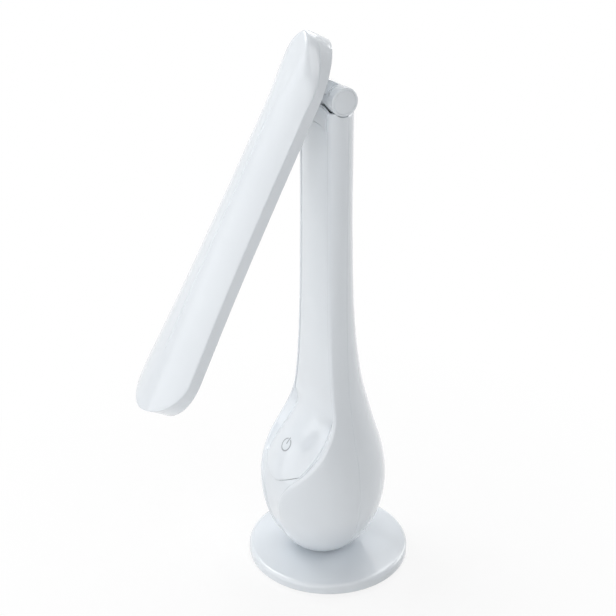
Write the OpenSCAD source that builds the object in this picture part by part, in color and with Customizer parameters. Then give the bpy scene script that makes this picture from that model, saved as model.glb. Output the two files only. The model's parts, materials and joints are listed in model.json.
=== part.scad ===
// Folding desk lamp: a vase-shaped stand on a round foot, with a long flat light head
// that hinges at the top of the neck. Millimetres, +Z up, the front looks along -Y.
// The origin is the middle of the foot, on the table.

/* [Foot] */
// Radius of the round foot
foot_r = 55.5; // [54:0.5:58]
// Top of the foot above the table
foot_top = 8; // [8:0.2:9]
// How far the rubber pads stand out below the foot
pad_drop = 0.8; // [0.6:0.1:1]
// Radius of the steel weight in the foot
weight_r = 44; // [36:1:45]

/* [Vase] */
// Widest radius of the bulb
bulb_r = 42.7; // [42:0.1:44]
// Height of the bulb's widest level
bulb_z = 65; // [63:1:67]
// How far the round bottom of the bulb would reach below its widest level
bulb_drop = 60; // [59:0.5:62]
// Half the width of the neck
neck_half = 21.4; // [21:0.1:22]
// Depth of the neck behind the vase axis
neck_depth = 16.2; // [16:0.1:17]
// The vase axis is this far forward of the middle of the foot
vase_forward = 4.5; // [4:0.1:5]
// Wall thickness of the shells
wall = 2.2; // [2:0.1:2.4]
// Top of the neck's front wall
neck_top = 329.5; // [328:0.5:331]
// The front and rear shells meet on this plane
seam_y = 0.3; // [0:0.1:0.6]

/* [Front panel] */
// The rim beside the panel lies on this plane along the neck
rim_y = -12.6; // [-12.8:0.1:-12.2]
// Lower end of the panel on the middle line
panel_low = 72; // [71:0.5:73]
// Upper end of the panel on the middle line
panel_high = 318; // [317:0.5:320]
// Thickness of the panel
panel_t = 2; // [1.8:0.1:2.2]
// Gap round the panel
panel_gap = 0.4; // [0.3:0.05:0.5]
// Height of the power symbol
symbol_z = 95; // [94:0.5:97]
// Outer radius of the power symbol
symbol_r = 4.7; // [4.4:0.1:5]

/* [Hinge] */
// Hinge axis, front to back
hinge_y = -2.5; // [-2.8:0.1:-2.2]
// Hinge axis above the table
hinge_z = 333; // [332.5:0.5:333.5]
// Radius of the ears on the neck
ear_r = 9; // [8.8:0.1:9.2]
// Radius of the barrel between the ears
barrel_r = 8.6; // [8.4:0.1:8.8]
// Radius of the pivot shoulder
pivot_r = 3; // [2.9:0.05:3.1]
// Radial clearance of the pivot in the ears
pivot_gap = 0.05; // [0.03:0.01:0.08]
// Angle of the head from hanging straight down
open_angle = 28; // [28:1:28]

/* [Head] */
// Half the width of the head along its straight part
head_half = 21.7; // [21.5:0.1:22.5]
// Half the width of the head at its wide end
head_tip_half = 29.3; // [28:0.1:30]
// Distance from the hinge axis to the head's inner face
head_gap = 16.3; // [16:0.1:16.8]
// Height of the head's side wall
head_side = 7.6; // [7.4:0.1:8]
// How far the outer face bulges beyond the side wall
head_crown = 9; // [8:0.1:9.5]
// The head reaches this far above the hinge axis
head_up = 29.5; // [28:0.5:31]
// The head reaches this far below the hinge axis
head_down = 221.5; // [220:0.5:223]
// Wall thickness of the head's cover
head_wall = 1.8; // [1.6:0.1:2]
// Number of LEDs on the board
led_count = 24; // [20:1:28]

/* [Hidden] */
$fn = 64;

white = [0.93, 0.95, 0.97];
vase_y = -vase_forward;
eps = 0.01;
steps_arc = 6;
steps_floor = 5;

// Index of the stretch of a [key, value] table that holds u
function stretch(tab, u, i = 0) =
    (i >= len(tab) - 2 || u < tab[i + 1][0]) ? i : stretch(tab, u, i + 1);
function tangent(tab, i) =
    (i <= 0 || i >= len(tab) - 1) ? 0
    : (tab[i + 1][1] - tab[i - 1][1]) / (tab[i + 1][0] - tab[i - 1][0]);
// Smooth curve through the table's points, level at both ends
function curve(tab, u) =
    let (i = stretch(tab, u), p = tab[i], q = tab[i + 1], h = q[0] - p[0],
        t = max(0, min(1, (u - p[0]) / h)))
    p[1] * (2 * pow(t, 3) - 3 * pow(t, 2) + 1)
    + tangent(tab, i) * h * (pow(t, 3) - 2 * pow(t, 2) + t)
    + q[1] * (3 * pow(t, 2) - 2 * pow(t, 3))
    + tangent(tab, i + 1) * h * (pow(t, 3) - pow(t, 2));
function flat(grid) = [for (row = grid) for (p = row) p];
function back_to_front(list) = [for (i = [len(list) - 1:-1:0]) list[i]];

// Share of the bulb's extra radius that is left at a height above its widest level
flare = [[bulb_z, 1], [85, 0.88], [110, 0.525], [140, 0.215], [180, 0.055], [240, 0.004],
    [335, 0]];
function flare_at(z) = max(0, curve(flare, z));
// Sections of the vase are ellipses about the vase axis, inset is the depth below the skin
function dome(z, inset) =
    (bulb_r - inset) * sqrt(max(0.02, 1 - pow((bulb_z - z) / (bulb_drop - inset), 2)));
function vase_half(z, inset = 0) =
    z < bulb_z ? dome(z, inset) : neck_half - inset + (bulb_r - neck_half) * flare_at(z);
function vase_depth(z, inset = 0) =
    z < bulb_z ? dome(z, inset)
    : neck_depth - inset + (bulb_r - neck_depth) * pow(flare_at(z), 0.7);
// Front skin of the vase at x
function vase_front(x, z, inset = 0) =
    vase_y - vase_depth(z, inset) * sqrt(max(0, 1 - pow(x / vase_half(z, inset), 2)));

// The rim is where the outer skin stops, an S-curve that runs from the neck over the bulb
shoulder_z = 103;
leaf = [[foot_top, 5], [25, 7.5], [46, 10], [60, 12.8], [73.5, 20], [84, 27.4], [94, 30.6],
    [shoulder_z, 31]];
rim_line = [[93, -27], [98, -23.8], [shoulder_z, -20.6], [107, -18.1], [113.5, -15.2], [118, -13.8],
    [124, rim_y - 0.2], [132, rim_y], [335, rim_y]];
function rim_x(z) =
    z <= shoulder_z ? curve(leaf, z)
    : vase_half(z) * sqrt(1 - pow((curve(rim_line, z) - vase_y) / vase_depth(z), 2));
function rim_front(z) = vase_front(rim_x(z), z);

// Middle line of the panel and of the chin below it
panel_line = [[panel_low, -43.4], [84, -39.2], [symbol_z, -33], [107, -22.4], [117, -16],
    [130, -13.4], [150, -13.1], [335, -13.1]];
// Width of the slope between the lip and the panel's bed, and the drop from the rim to the bed's edge
bevel = [[panel_low, 0.4], [84, 2.2], [symbol_z, 4], [107, 5], [114, 4.4], [118, 2.4], [122, 0.2],
    [335, 0]];
lip_depth = [[panel_low, 0.8], [84, 1.8], [symbol_z, 3], [107, 3.6], [114, 3.1], [119, 1.8],
    [124, 0.9], [335, 0.7]];
lip_w = 2.4;
function floor_half(z) = rim_x(z) - lip_w - max(0, curve(bevel, z));
function panel_half(z) = floor_half(z) - panel_gap;
function panel_face(x, z) =
    let (u = min(1, abs(x) / floor_half(z)), middle = curve(panel_line, z))
    middle + (rim_front(z) + curve(lip_depth, z) - middle) * pow(u, 2);
// The chin lies a little below the skin and runs out to nothing at the bottom
chin_sink = [[foot_top, 0.2], [40, 1.4], [panel_low, 3.4]];
function chin_face(x, z) =
    vase_front(x, z) + 0.4 + curve(chin_sink, z) * (1 - pow(x / rim_x(z), 2));

// Levels bow up beside the panel's lower end and down beside its arched upper end
low_rise = [[foot_top, 0], [40, 3], [panel_low, 9], [98, 3], [112, 0], [335, 0]];
top_drop = [[foot_top, 0], [290, 0], [panel_high, 2.8], [neck_top, 2.8]];
function bowed(z, u) = z + curve(low_rise, z) * pow(u, 2) - curve(top_drop, z) * pow(u, 4);

// What lies inside the rim: chin, bed of the panel, or the wall above it
bed_gap = 0.3;
function inside_rim(x, z, level) =
    level < panel_low ? chin_face(x, z)
    : level > panel_high ? rim_y - 0.5 * (1 - pow(x / rim_x(z), 4))
    : panel_face(x, z) + panel_t + bed_gap;

step_gap = 0.3;
levels = [foot_top, 10, 13, 17, 22, 28, 35, 43, 51, 58, 65, panel_low - step_gap,
    panel_low + eps, 77, 82, 87, 92, 97, shoulder_z, 107.5, 111.5, 115, 117.5, 120, 124, 130,
    137, 146, 160, 185, 225, 270, 300, panel_high - 6, panel_high - eps, panel_high + step_gap,
    327, neck_top];

// The side walls of the neck end in an arc below the ears
ear_line = 0.2;
function ear_floor(y) = hinge_z - sqrt(max(0, pow(ear_r + ear_line, 2) - pow(y - hinge_y, 2)));
function under_ear(p, u) =
    let (z0 = hinge_z - 24, free = bowed(neck_top, u), top = min(free, ear_floor(p[1])))
    p[2] <= z0 ? p : [p[0], p[1], z0 + (p[2] - z0) * (top - z0) / (free - z0)];

// Right half of a front shell section, from the seam to the middle line
function seam_angle(z, inset) = asin((seam_y - vase_y) / vase_depth(z, inset));
function skin_point(z, inset, ang) =
    [vase_half(z, inset) * cos(ang), vase_y + vase_depth(z, inset) * sin(ang), z];
function rim_angle(z) = -acos(rim_x(z) / vase_half(z));
seam_share = 0.86;
function has_bed(level) = level >= panel_low && level <= panel_high;
function recess_half(z, level) = has_bed(level) ? floor_half(z) : rim_x(z) - lip_w;
function outer_half(level) = concat(
    [for (i = [0:steps_arc])
        let (u = seam_share + (1 - seam_share) * i / steps_arc,
            z = bowed(level, u),
            a0 = seam_angle(z, 0))
        under_ear(skin_point(z, 0, a0 + (rim_angle(z) - a0) * i / steps_arc), u)],
    let (z = bowed(level, 1),
        rim = rim_front(z),
        x = recess_half(z, level),
        deep = max(inside_rim(x, z, level), rim + 0.4),
        edge = has_bed(level) ? rim + curve(lip_depth, z) : (rim + 0.25 + deep) / 2)
    [[rim_x(z) - lip_w * 0.55, rim - 0.15, z],
        [rim_x(z) - lip_w, rim + 0.25, z],
        [x - 0.05, edge, z],
        [x - 0.15, deep, z]],
    [for (i = [1:steps_floor])
        let (u = cos(90 * i / steps_floor),
            z = bowed(level, u),
            x = recess_half(z, level) * u)
        [x, inside_rim(x, z, level), z]]);
function inner_half(level) =
    let (z1 = bowed(level, 1),
        x1 = recess_half(z1, level),
        y1 = max(inside_rim(x1, z1, level), rim_front(z1) + 0.4) + wall,
        a1 = -asin(min(0.98, (vase_y - y1) / vase_depth(z1, wall))))
    concat(
        [for (i = [0:steps_arc + 4])
            let (u = seam_share + (1 - seam_share) * min(1, i / steps_arc),
                z = bowed(level, u),
                a0 = seam_angle(z, wall))
            under_ear(skin_point(z, wall, a0 + (a1 - a0) * i / (steps_arc + 4)), u)],
        [for (i = [1:steps_floor])
            let (u = cos(90 * i / steps_floor),
                z = bowed(level, u),
                x = recess_half(z, level) * u)
            [x, inside_rim(x, z, level) + wall, z]]);
function mirrored(half) = [for (i = [len(half) - 2:-1:0]) [-half[i][0], half[i][1], half[i][2]]];
function whole(half) = concat(half, mirrored(half));

// A closed solid between two grids of points, joined along all four borders
module sheet(outer, inner) {
    n = len(outer);
    m = len(outer[0]);
    function at(side, i, j) = (side * n + i + 1) * m - 1 - j;
    polyhedron(concat(flat(outer), flat(inner)), [
        for (i = [0:n - 2]) for (j = [0:m - 2]) each [
            [at(0, i, j), at(0, i + 1, j), at(0, i + 1, j + 1)],
            [at(0, i, j), at(0, i + 1, j + 1), at(0, i, j + 1)],
            [at(1, i, j), at(1, i + 1, j + 1), at(1, i + 1, j)],
            [at(1, i, j), at(1, i, j + 1), at(1, i + 1, j + 1)]],
        for (j = [0:m - 2]) each [
            [at(0, 0, j), at(0, 0, j + 1), at(1, 0, j + 1)],
            [at(0, 0, j), at(1, 0, j + 1), at(1, 0, j)],
            [at(0, n - 1, j), at(1, n - 1, j + 1), at(0, n - 1, j + 1)],
            [at(0, n - 1, j), at(1, n - 1, j), at(1, n - 1, j + 1)]],
        for (i = [0:n - 2]) each [
            [at(0, i, 0), at(1, i, 0), at(1, i + 1, 0)],
            [at(0, i, 0), at(1, i + 1, 0), at(0, i + 1, 0)],
            [at(0, i, m - 1), at(1, i + 1, m - 1), at(1, i, m - 1)],
            [at(0, i, m - 1), at(0, i + 1, m - 1), at(1, i + 1, m - 1)]]],
        convexity = 8);
}

// A hollow tray between two grids, closed at both ends and open along its inner face
module tray(outer, inner) {
    n = len(outer);
    m = len(outer[0]);
    function at(side, i, j) = (side * n + i + 1) * m - 1 - j;
    polyhedron(concat(flat(outer), flat(inner)), [
        for (i = [0:n - 2]) for (j = [0:m - 2]) each [
            [at(0, i, j), at(0, i + 1, j), at(0, i + 1, j + 1)],
            [at(0, i, j), at(0, i + 1, j + 1), at(0, i, j + 1)],
            [at(1, i, j), at(1, i + 1, j + 1), at(1, i + 1, j)],
            [at(1, i, j), at(1, i, j + 1), at(1, i + 1, j + 1)]],
        for (j = [1:m - 2]) each [
            [at(0, 0, 0), at(0, 0, j), at(0, 0, j + 1)],
            [at(0, n - 1, 0), at(0, n - 1, j + 1), at(0, n - 1, j)],
            [at(1, 0, 0), at(1, 0, j + 1), at(1, 0, j)],
            [at(1, n - 1, 0), at(1, n - 1, j), at(1, n - 1, j + 1)]],
        for (i = [0:n - 2]) each [
            [at(0, i, 0), at(1, i, 0), at(1, i + 1, 0)],
            [at(0, i, 0), at(1, i + 1, 0), at(0, i + 1, 0)],
            [at(0, i, m - 1), at(1, i + 1, m - 1), at(1, i, m - 1)],
            [at(0, i, m - 1), at(0, i + 1, m - 1), at(1, i + 1, m - 1)]],
        [at(0, 0, 0), at(0, 0, m - 1), at(1, 0, m - 1)],
        [at(0, 0, 0), at(1, 0, m - 1), at(1, 0, 0)],
        [at(0, n - 1, 0), at(1, n - 1, m - 1), at(0, n - 1, m - 1)],
        [at(0, n - 1, 0), at(1, n - 1, 0), at(1, n - 1, m - 1)]],
        convexity = 8);
}

// A straight round rod between two points
module rod(p, q, r) {
    d = q - p;
    translate(p)
        rotate([0, acos(d[2] / norm(d)), atan2(d[1], d[0])])
            cylinder(h = norm(d), r = r, $fn = 24);
}

// A round wire along a list of points, with a slightly thicker ball at each bend
module wire(points, r) {
    for (i = [0:len(points) - 2]) rod(points[i], points[i + 1], r);
    for (i = [1:len(points) - 2]) translate(points[i]) sphere(r = r * 1.15, $fn = 24);
}

// A pan-head or flat-head screw that points along +Z, its head at the origin
module screw(head_r, head_h, shank_r, length) {
    difference() {
        cylinder(h = head_h, r = head_r, $fn = 32);
        for (a = [0, 90]) rotate(a)
            translate([-head_r * 0.55, -0.35, -eps]) cube([head_r * 1.1, 0.7, head_h * 0.5]);
    }
    translate([0, 0, head_h]) cylinder(h = length - head_h, r = shank_r, $fn = 32);
}

cover_r = foot_r - 3;
cover_top = pad_drop + 2;
foot_skin = 2;
foot_screw_r = 48.5;
body_screw_r = 4.4;
screw_r = 1.5;
module at_foot_screws() {
    for (a = [45:90:315]) rotate(a) translate([foot_screw_r, 0, 0]) children();
}
module at_body_screws() {
    translate([0, vase_y, 0])
        for (a = [30, 150, 270]) rotate(a) translate([body_screw_r, 0, 0]) children();
}

module foot_disc() {
    edge = 3;
    color(white) difference() {
        union() {
            difference() {
                rotate_extrude($fn = 128) union() {
                    translate([0, pad_drop]) square([foot_r - 1, 2]);
                    translate([0, pad_drop + 1]) square([foot_r, foot_top - pad_drop - 1 - edge]);
                    translate([0, pad_drop + 1]) square([foot_r - edge, foot_top - pad_drop - 1]);
                    translate([foot_r - edge, foot_top - edge]) circle(r = edge, $fn = 48);
                    translate([foot_r - 1, pad_drop + 1]) circle(r = 1, $fn = 24);
                }
                translate([0, 0, -1]) cylinder(h = foot_top - foot_skin + 1, r = cover_r, $fn = 128);
            }
            at_foot_screws() translate([0, 0, cover_top]) cylinder(h = foot_top - cover_top - 1, r = 3);
        }
        at_foot_screws() translate([0, 0, 0]) cylinder(h = foot_top - 1.4, r = screw_r);
        at_body_screws() translate([0, 0, 0]) cylinder(h = foot_top + 1, r = screw_r + 0.1);
    }
}

module foot_bottom_cover() {
    color(white * 0.92) difference() {
        translate([0, 0, pad_drop])
            cylinder(h = cover_top - pad_drop, r = cover_r - 0.2, $fn = 128);
        at_foot_screws() {
            cylinder(h = 4, r = screw_r + 0.1);
            cylinder(h = pad_drop + 1.2, r = 3.1);
        }
        at_rubber_feet() translate([0, 0, -1]) cylinder(h = 2 + pad_drop - 0.2, r = 6);
    }
}

module foot_weight() {
    color([0.45, 0.46, 0.48]) difference() {
        translate([0, 0, cover_top]) cylinder(h = 3.1, r = weight_r, $fn = 128);
        translate([0, vase_y, 0]) cylinder(h = 10, r = 9.5);
    }
}

module at_rubber_feet() {
    children();
    for (a = [0:90:270]) rotate(a) translate([43, 0, 0]) children();
}

module rubber_feet() {
    color([0.75, 0.76, 0.77]) at_rubber_feet()
        cylinder(h = pad_drop + 0.8, r = 6);
}

module foot_screws() {
    color([0.6, 0.6, 0.62]) at_foot_screws()
        translate([0, 0, pad_drop]) screw(3, 1.2, screw_r, 5);
}

module body_screws() {
    color([0.6, 0.6, 0.62]) at_body_screws()
        translate([0, 0, foot_top - foot_skin - 1.5]) screw(2.9, 1.5, screw_r, 9);
}

ear_in = 14.4;
ear_out = 20.6;
ear_post = 19;
bolt_seat = 3.1;
cap_seat_r = 7.4;
module ear(side) {
    mirror([side < 0 ? 1 : 0, 0, 0]) {
        translate([ear_in, hinge_y, hinge_z]) rotate([0, 90, 0])
            cylinder(h = ear_out - ear_in, r = ear_r);
        translate([ear_in, seam_y, 312]) cube([ear_post - ear_in, 2.4, hinge_z - 312]);
    }
}
module ear_cuts(side) {
    mirror([side < 0 ? 1 : 0, 0, 0]) translate([0, hinge_y, hinge_z]) rotate([0, 90, 0]) {
        cylinder(h = ear_out + 5, r = pivot_r + pivot_gap);
        translate([0, 0, ear_out - bolt_seat]) cylinder(h = 10, r = cap_seat_r);
    }
}

// The plate inside the bottom of the vase. The foot's screws pull it down on the shells.
module mounting_plate() {
    color(white * 0.9) difference() {
        union() {
            translate([0, vase_y, 0]) rotate_extrude() polygon([[0, foot_top], [6.2, foot_top],
                [13.5, foot_top + 3], [13.5, foot_top + 3.6], [0, foot_top + 3.6]]);
            at_body_screws() translate([0, 0, foot_top]) cylinder(h = 7.5, r = 3);
        }
        at_body_screws() cylinder(h = foot_top + 6, r = screw_r);
    }
}

symbol_tilt = 48;
symbol_y = curve(panel_line, symbol_z);
module at_symbol() {
    translate([0, symbol_y, symbol_z]) rotate([symbol_tilt, 0, 0]) children();
}

module front_shell() {
    color(white)
        sheet([for (v = levels) whole(outer_half(v))], [for (v = levels) whole(inner_half(v))]);
}

rear_levels = [foot_top, 10, 13, 17, 22, 28, 35, 43, 51, 58, 65, 73, 81, 89, 97, 105, 113, 122,
    132, 144, 160, 185, 220, 270, 314, 322];
rear_top = 326;
function rear_row(z, inset) =
    let (a0 = seam_angle(z, inset))
    [for (i = [0:20]) skin_point(z, inset, 180 - a0 - (180 - 2 * a0) * i / 20)];
socket_z = 26;
socket_r = 4.2;
board_y = 9;
board_low = 28;
board_high = 92;
board_half = 23;
boss_x = 17;
boss_z = [board_low + 6, board_high - 14];
module rear_shell() {
    color(white) difference() {
        union() {
            sheet([for (z = rear_levels) rear_row(z, 0)], [for (z = rear_levels) rear_row(z, wall)]);
            rear_roof();
            for (z = boss_z) for (side = [-1, 1])
                translate([side * boss_x, board_y + 1.6, z]) rotate([-90, 0, 0])
                    cylinder(h = vase_depth(z, wall) * sqrt(1 - pow(boss_x / vase_half(z, wall), 2))
                        + vase_y - board_y - 0.8, r = 3.2);
            for (side = [-1, 1]) ear(side);
        }
        for (side = [-1, 1]) ear_cuts(side);
        for (z = boss_z) for (side = [-1, 1])
            translate([side * boss_x, board_y, z]) rotate([-90, 0, 0]) cylinder(h = 9, r = 1.3);
        translate([0, 10, socket_z]) rotate([-90, 0, 0]) cylinder(h = 40, r = socket_r);
    }
}

// Rounded top of the rear shell, closed by a plate behind the hinge barrel
roof_curl = 2.5;
roof_z = 324.6;
function roof_row(z, k) =
    let (a0 = seam_angle(322, 0))
    [for (j = [0:20])
        let (p = skin_point(322, k, 180 - a0 - (180 - 2 * a0) * j / 20))
        [p[0], max(seam_y, p[1]), z]];
module rear_roof() {
    sheet([for (a = [0:16:80]) roof_row(322 + 5 * sin(a), roof_curl * (1 - cos(a)))],
        [for (a = [0:16:80]) roof_row(322 + 3.4 * sin(a), wall + roof_curl * (1 - cos(a)))]);
    difference() {
        translate([0, vase_y, roof_z]) linear_extrude(1.8) polygon([for (a = [35:5:145])
            [(neck_half - 2.9) * cos(a), (neck_depth - 2.9) * sin(a)]]);
        translate([-30, hinge_y, hinge_z]) rotate([0, 90, 0]) cylinder(h = 60, r = barrel_r + 0.5);
    }
}

panel_levels = [for (v = levels) if (v > panel_low && v < panel_high) v];
panel_steps = 7;
function panel_row(level, depth) =
    let (half = [for (i = [0:panel_steps])
        let (u = cos(90 * i / panel_steps),
            z = max(panel_low + 0.2, min(panel_high - 0.4, level)),
            zb = bowed(z, u),
            x = (panel_half(zb) - (depth > 0 ? 0.2 : 0)) * u)
        [x, panel_face(x, zb) + depth, zb]])
    whole(half);
module panel_sheet() {
    sheet([for (v = panel_levels) panel_row(v, 0)], [for (v = panel_levels) panel_row(v, panel_t)]);
}

module symbol_shape() {
    stroke = 0.9;
    difference() {
        circle(r = symbol_r);
        circle(r = symbol_r - stroke);
        translate([-stroke * 1.4, 0]) square([stroke * 2.8, symbol_r + 1]);
    }
    translate([-stroke / 2, symbol_r * 0.1]) square([stroke, symbol_r * 1.05]);
}

module front_panel() {
    color(white) difference() {
        panel_sheet();
        at_symbol() translate([0, 0, -6]) linear_extrude(12) symbol_shape();
    }
}

module power_symbol() {
    color([0.55, 0.58, 0.62]) intersection() {
        panel_sheet();
        at_symbol() translate([0, 0, -6]) linear_extrude(12) symbol_shape();
    }
}

sensor_back = 6.4;
module touch_sensor() {
    color([0.75, 0.6, 0.3]) at_symbol() translate([0, 0, -sensor_back]) cylinder(h = 0.8, r = 6);
}

function behind_symbol(d) = [0, symbol_y + d * sin(symbol_tilt), symbol_z - d * cos(symbol_tilt)];
module touch_lead() {
    color([0.2, 0.2, 0.2]) wire([behind_symbol(sensor_back), behind_symbol(sensor_back + 4),
        [0, board_y - 5, 72], [0, board_y, 72]], 0.7);
}

module control_board() {
    color([0.1, 0.35, 0.2]) difference() {
        translate([-board_half, board_y, board_low])
            cube([2 * board_half, 1.6, board_high - board_low - 6]);
        for (z = boss_z) for (side = [-1, 1])
            translate([side * boss_x, board_y - 1, z]) rotate([-90, 0, 0]) cylinder(h = 4, r = 1.6);
    }
}

module board_components() {
    color([0.12, 0.12, 0.13]) {
        translate([-5, board_y - 1.8, 52]) cube([10, 1.8, 8]);
        translate([-16, board_y - 1.4, 62]) cube([5, 1.4, 4]);
    }
    color([0.3, 0.3, 0.33]) translate([8, board_y - 4, 60]) cube([8, 4, 8]);
    color([0.15, 0.2, 0.5]) for (x = [-12, 12]) translate([x, board_y, 46]) rotate([90, 0, 0])
        cylinder(h = 9, r = 3.2);
    color([0.9, 0.9, 0.85]) {
        translate([-6, board_y - 5, 79]) cube([12, 5, 5]);
        translate([-5, board_y - 5, 32]) cube([10, 5, 5]);
    }
}

module board_screws() {
    color([0.6, 0.6, 0.62]) for (z = boss_z) for (side = [-1, 1])
        translate([side * boss_x, board_y - 1.4, z]) rotate([-90, 0, 0]) screw(2.8, 1.4, 1.3, 9);
}

socket_face = vase_y + dome(socket_z, 0) - 0.6;
module dc_socket() {
    color([0.15, 0.15, 0.16]) translate([0, socket_face, socket_z]) rotate([90, 0, 0]) {
        difference() {
            union() {
                cylinder(h = 6.5, r = socket_r - 0.1);
                translate([-4.5, -4.5, 6.4]) cube([9, 9, 7]);
            }
            translate([0, 0, -1]) cylinder(h = 10.5, r = 2.8);
        }
        translate([0, 0, 1.2]) cylinder(h = 9, r = 1);
    }
}

module socket_lead() {
    color([0.75, 0.1, 0.1]) wire([[1.5, socket_face - 13.4, socket_z], [1.5, 8, socket_z],
        [1.5, 2, 31], [1.5, 2, 34.5], [1.5, board_y - 5, 34.5]], 0.7);
    color([0.1, 0.1, 0.1]) wire([[-1.5, socket_face - 13.4, socket_z], [-1.5, 8, socket_z],
        [-1.5, 2, 31], [-1.5, 2, 34.5], [-1.5, board_y - 5, 34.5]], 0.7);
}

wire_r = 1;
module neck_wire() {
    color([0.9, 0.9, 0.9]) wire([[0, board_y - 3, 84], [0, board_y - 3, 90], [0, 3, 100], [0, 1.5, 150], [0, 1, 312],
        [0, hinge_y, 321], [0, hinge_y, hinge_z - 0.6]], wire_r);
}

module hinge_cap(side) {
    mirror([side < 0 ? 1 : 0, 0, 0]) translate([ear_out, hinge_y, hinge_z]) rotate([0, 90, 0]) {
        rotate_extrude() polygon([[0, -0.6], [cap_seat_r - 0.1, -0.6], [cap_seat_r - 0.1, 0.4],
            [cap_seat_r - 0.5, 0.8], [5, 1.1], [0, 1.2]]);
    }
}
module hinge_cap_right() { color(white) hinge_cap(1); }
module hinge_cap_left() { color(white) hinge_cap(-1); }

washer_t = 0.5;
module friction_washers() {
    color([0.7, 0.7, 0.72]) for (side = [0, 1]) mirror([side, 0, 0])
        translate([ear_out - bolt_seat, hinge_y, hinge_z]) rotate([0, 90, 0]) difference() {
            cylinder(h = washer_t, r = 6.2);
            translate([0, 0, -1]) cylinder(h = 3, r = pivot_r + 0.1);
        }
}

bolt_head = 1.7;
barrel_half = 13.6;
module hinge_bolts() {
    color([0.66, 0.67, 0.7]) in_head() for (side = [0, 1]) mirror([side, 0, 0])
        translate([ear_out - bolt_seat + washer_t + 0.05, 0, 0]) rotate([0, 90, 0]) {
            difference() {
                cylinder(h = bolt_head, r = 5.2);
                translate([0, 0, bolt_head - 0.9]) cylinder(h = 2, r = 2, $fn = 6);
            }
            mirror([0, 0, 1]) {
                cylinder(h = ear_out - bolt_seat + washer_t + 0.05 - barrel_half, r = pivot_r);
                cylinder(h = 13, r = 2);
            }
        }
}

module spacer_washers() {
    color([0.85, 0.85, 0.86]) for (side = [0, 1]) mirror([side, 0, 0])
        translate([barrel_half + 0.1, hinge_y, hinge_z]) rotate([0, 90, 0]) difference() {
            cylinder(h = ear_in - barrel_half - 0.1, r = 6.5);
            translate([0, 0, -1]) cylinder(h = 3, r = pivot_r + 0.1);
        }
}

// The head is drawn hanging straight down from the hinge, and then swung out
module in_head() {
    translate([0, hinge_y, hinge_z]) rotate([-open_angle, 0, 0]) children();
}
module arm_block(half, s0, s1, n0, n1) {
    translate([-half, -n1, -s1]) cube([2 * half, n1 - n0, s1 - s0]);
}

arm_half = 11;
arm_up = 8.2;
arm_down = 0.4;
flange_n = head_gap + 2.4;
flange_t = 2;
flange_half = 12.3;
flange_up = 17.2;
flange_down = 13;
slot_half = 3.4;
module at_arm_screws() {
    for (s = [-14.5, 8.5]) for (x = [-9.5, 9.5]) translate([x, 0, -s]) rotate([90, 0, 0]) children();
}
module hinge_arm() {
    color(white) in_head() difference() {
        union() {
            translate([-barrel_half, 0, 0]) rotate([0, 90, 0]) cylinder(h = 2 * barrel_half, r = barrel_r);
            arm_block(arm_half, -arm_up, arm_down, 0, flange_n + eps);
            arm_block(flange_half, -flange_up, flange_down, flange_n, flange_n + flange_t);
        }
        for (side = [0, 1]) mirror([side, 0, 0])
            translate([slot_half - 1, 0, 0]) rotate([0, 90, 0]) cylinder(h = 20, r = 2);
        // Room for the wire, which enters from the neck and leaves through the arm
        translate([-slot_half, 0, 0]) rotate([0, 90, 0]) cylinder(h = 2 * slot_half, r = 4.8);
        rotate([0, 90, 0]) translate([0, 0, -slot_half]) linear_extrude(2 * slot_half)
            polygon([[0, 0], for (a = [-20, 20, 60, 100, 138]) 13 * [cos(a), sin(a)]]);
        arm_block(2.2, -5.2, -1.2, 1, 40);
        at_arm_screws() {
            cylinder(h = 40, r = screw_r + 0.1);
            cylinder(h = flange_n + 1, r = 2.7);
        }
    }
}
crown_power = 2;
head_table = [[-head_up, 0], [60, 0.1], [130, 0.36], [175, 0.72], [205, 1], [head_down, 1]];
top_round = 40;
edge_drop = 0.1;
tip_round = 34;
function head_body(s) = head_half + (head_tip_half - head_half) * curve(head_table, s);
top_power = 1.95;
tip_power = 2;
function rounding(u, k) = pow(max(0, 1 - pow(u, k)), 1 / k);
function head_w(s) =
    s < top_round - head_up ? head_body(s) * rounding((top_round - head_up - s) / top_round, top_power)
    : s > head_down - tip_round ? head_body(s) * rounding((s - head_down + tip_round) / tip_round, tip_power)
    : head_body(s);
head_stations = [for (a = [-head_up + 0.12, -head_up + 0.7, -head_up + 2, -head_up + 4.5, -20, -15,
    -8, 0, 12, 30, 60, 95, 130, 152, 175, 190, 198, 204, 209, 213, 216, head_down - 2,
    head_down - 0.8, head_down - 0.15]) a];
face_steps = 12;
function in_station(s, t) =
    (head_down - head_up) / 2 + (s - (head_down - head_up) / 2)
    * (head_down + head_up - 2 * t) / (head_down + head_up);
// The ridge rises a little towards the hinge end
ridge_rise = 1.5;
function crown_at(x, s) =
    (head_crown + ridge_rise * pow(max(0, (27 - s) / (27 + head_up)), 1.6))
    * (1 - pow(min(1, abs(x) / head_body(s)), crown_power));
function head_row(s, t) =
    let (w = max(0.8, head_w(s) - t), n1 = head_gap + head_side - t, si = in_station(s, t),
        k = edge_drop * (1 - min(1, head_w(s) / head_body(s))), side = -n1 - crown_at(w, s) + k)
    concat([[w, -head_gap, -si], [w, side + 1.2, -si]],
        [for (i = [0:face_steps])
            let (u = cos(180 * i / face_steps), e = pow(abs(u), 12) * 0.5)
            [w * u * (1 - e * 0.04), -n1 - crown_at(w * u, s) + k + e, -si]],
        [[-w, side + 1.2, -si], [-w, -head_gap, -si]]);

boss_n = head_gap + head_side + 2;
lid_screws_s = [[-22.8, 4.2], [24, 16.9], [100, 18], [180, 18.5]];
module at_lid_screws() {
    for (p = lid_screws_s) for (side = [-1, 1])
        translate([side * p[1], -head_gap, -p[0]]) rotate([90, 0, 0]) children();
}
lid_screw_r = 1;
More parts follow.
